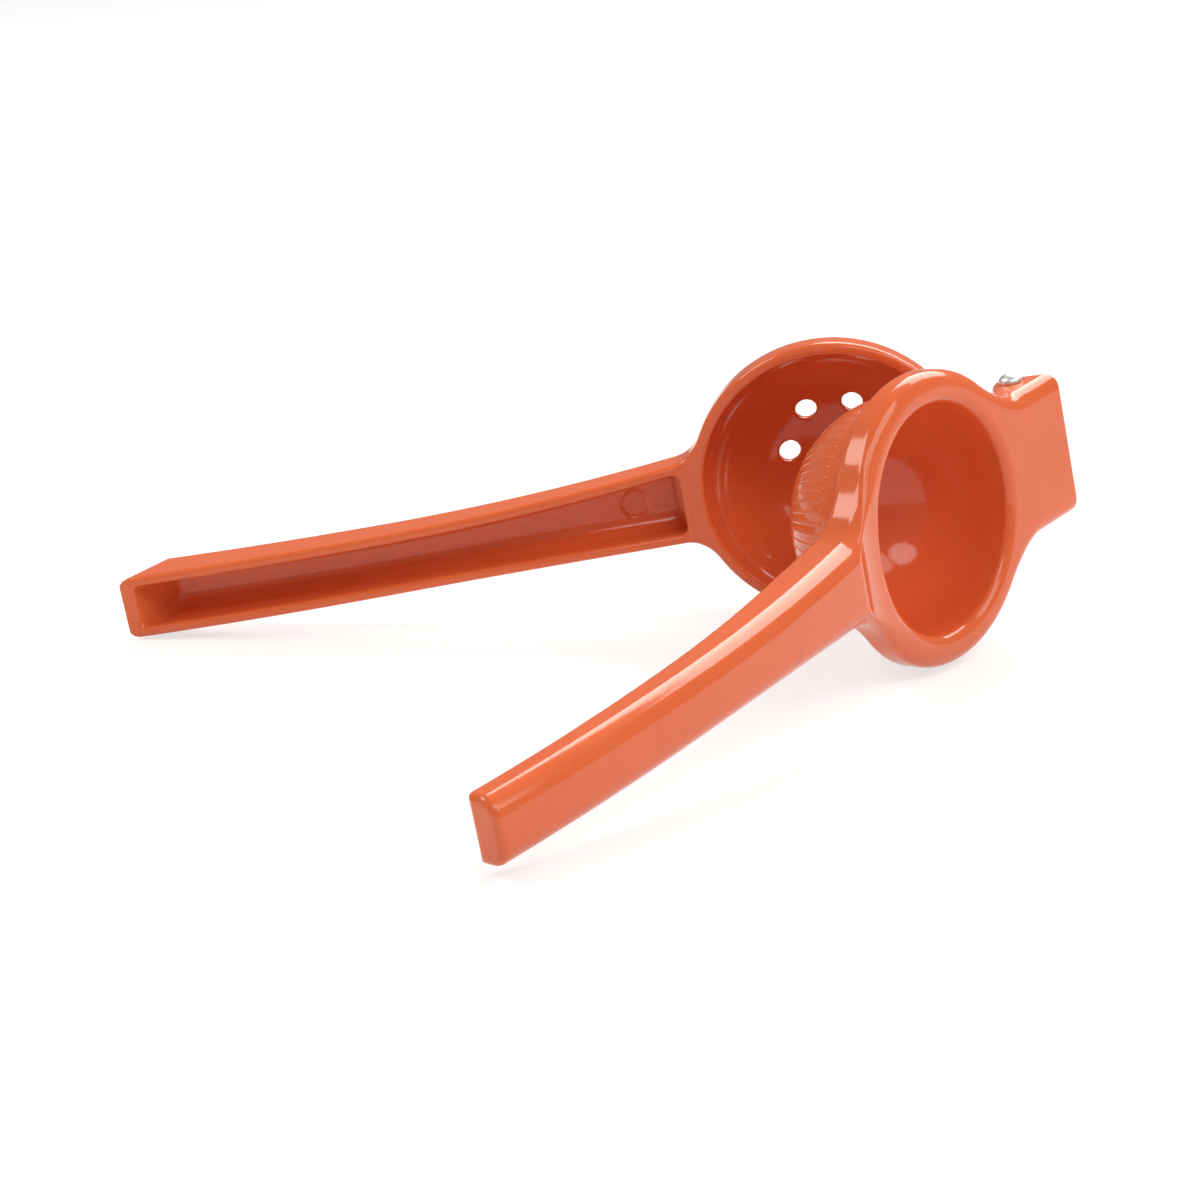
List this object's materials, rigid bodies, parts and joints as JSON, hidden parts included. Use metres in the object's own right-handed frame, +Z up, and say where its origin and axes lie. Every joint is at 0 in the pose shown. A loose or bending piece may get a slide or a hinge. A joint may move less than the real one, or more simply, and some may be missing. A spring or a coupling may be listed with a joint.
{
  "type": "citrus squeezer",
  "caption": "Hand-held lever citrus squeezer: a fluted domed press hinged over a pierced strainer cup, with long bowed handles, lying open on its side.",
  "frame": {"origin": "middle of the bounding box's bottom face, on the surface the squeezer lies on", "axes": "+Z up, across the arms; the cup arm's handle runs towards -X and the press arm's handle towards -X and -Y; the strainer cup opens towards -Y"},
  "size_m": [0.2258, 0.2242, 0.0678],
  "materials": {
    "enamel": "glossy orange enamel on cast aluminium",
    "pin_steel": "bright rivet"
  },
  "bodies": {
    "cup": {"cup_arm": "enamel"},
    "press": {"press_arm": "enamel", "hinge_pin": "pin_steel"}
  },
  "joints": [
    {"name": "arm_hinge", "type": "hinge", "parent": "cup", "child": "press", "pos_m": [0.09971, 0.07806, 0.04079], "axis": [-0.1513, -0.0796, 0.9853], "range_deg": [-54.5, 38]}
  ]
}
